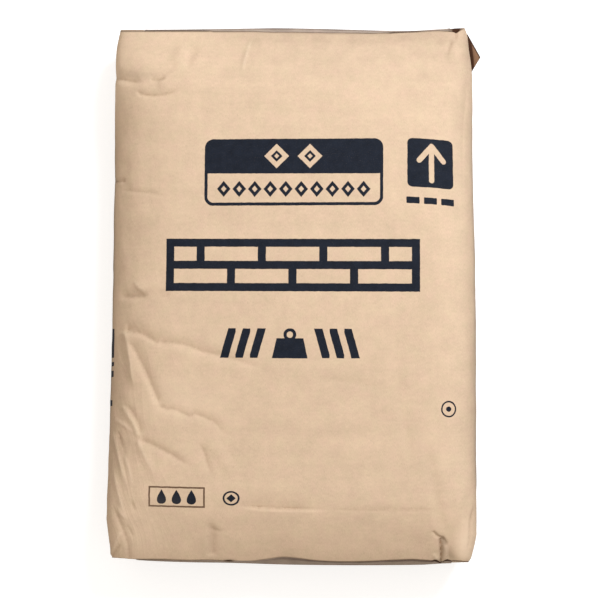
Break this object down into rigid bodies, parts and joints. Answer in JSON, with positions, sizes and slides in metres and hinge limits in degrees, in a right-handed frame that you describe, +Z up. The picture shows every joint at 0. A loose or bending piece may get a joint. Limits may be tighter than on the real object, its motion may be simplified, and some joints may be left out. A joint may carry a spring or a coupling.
{
  "type": "cement bag",
  "caption": "Filled paper valve sack of cement, lying flat, with folded ends under pasted strips and a small filling sleeve in one corner.",
  "frame": {"origin": "on the floor, under the middle of the bag's box, with the tip of the valve sleeve counted in", "axes": "+Z up out of the printed broad face, +Y along the bag to its top end, +X towards the side that the valve sleeve is in"},
  "size_m": [0.4046, 0.5814, 0.088],
  "materials": {
    "kraft": "matt brown kraft paper",
    "cement": "fine grey powder",
    "strip_kraft": "matt kraft paper",
    "sleeve_kraft": "matt brown kraft paper"
  },
  "bodies": {
    "root": {"paper_sack": "kraft", "cement": "cement", "top_end_strip": "strip_kraft", "bottom_end_strip": "strip_kraft", "valve_sleeve": "sleeve_kraft"}
  },
  "joints": []
}
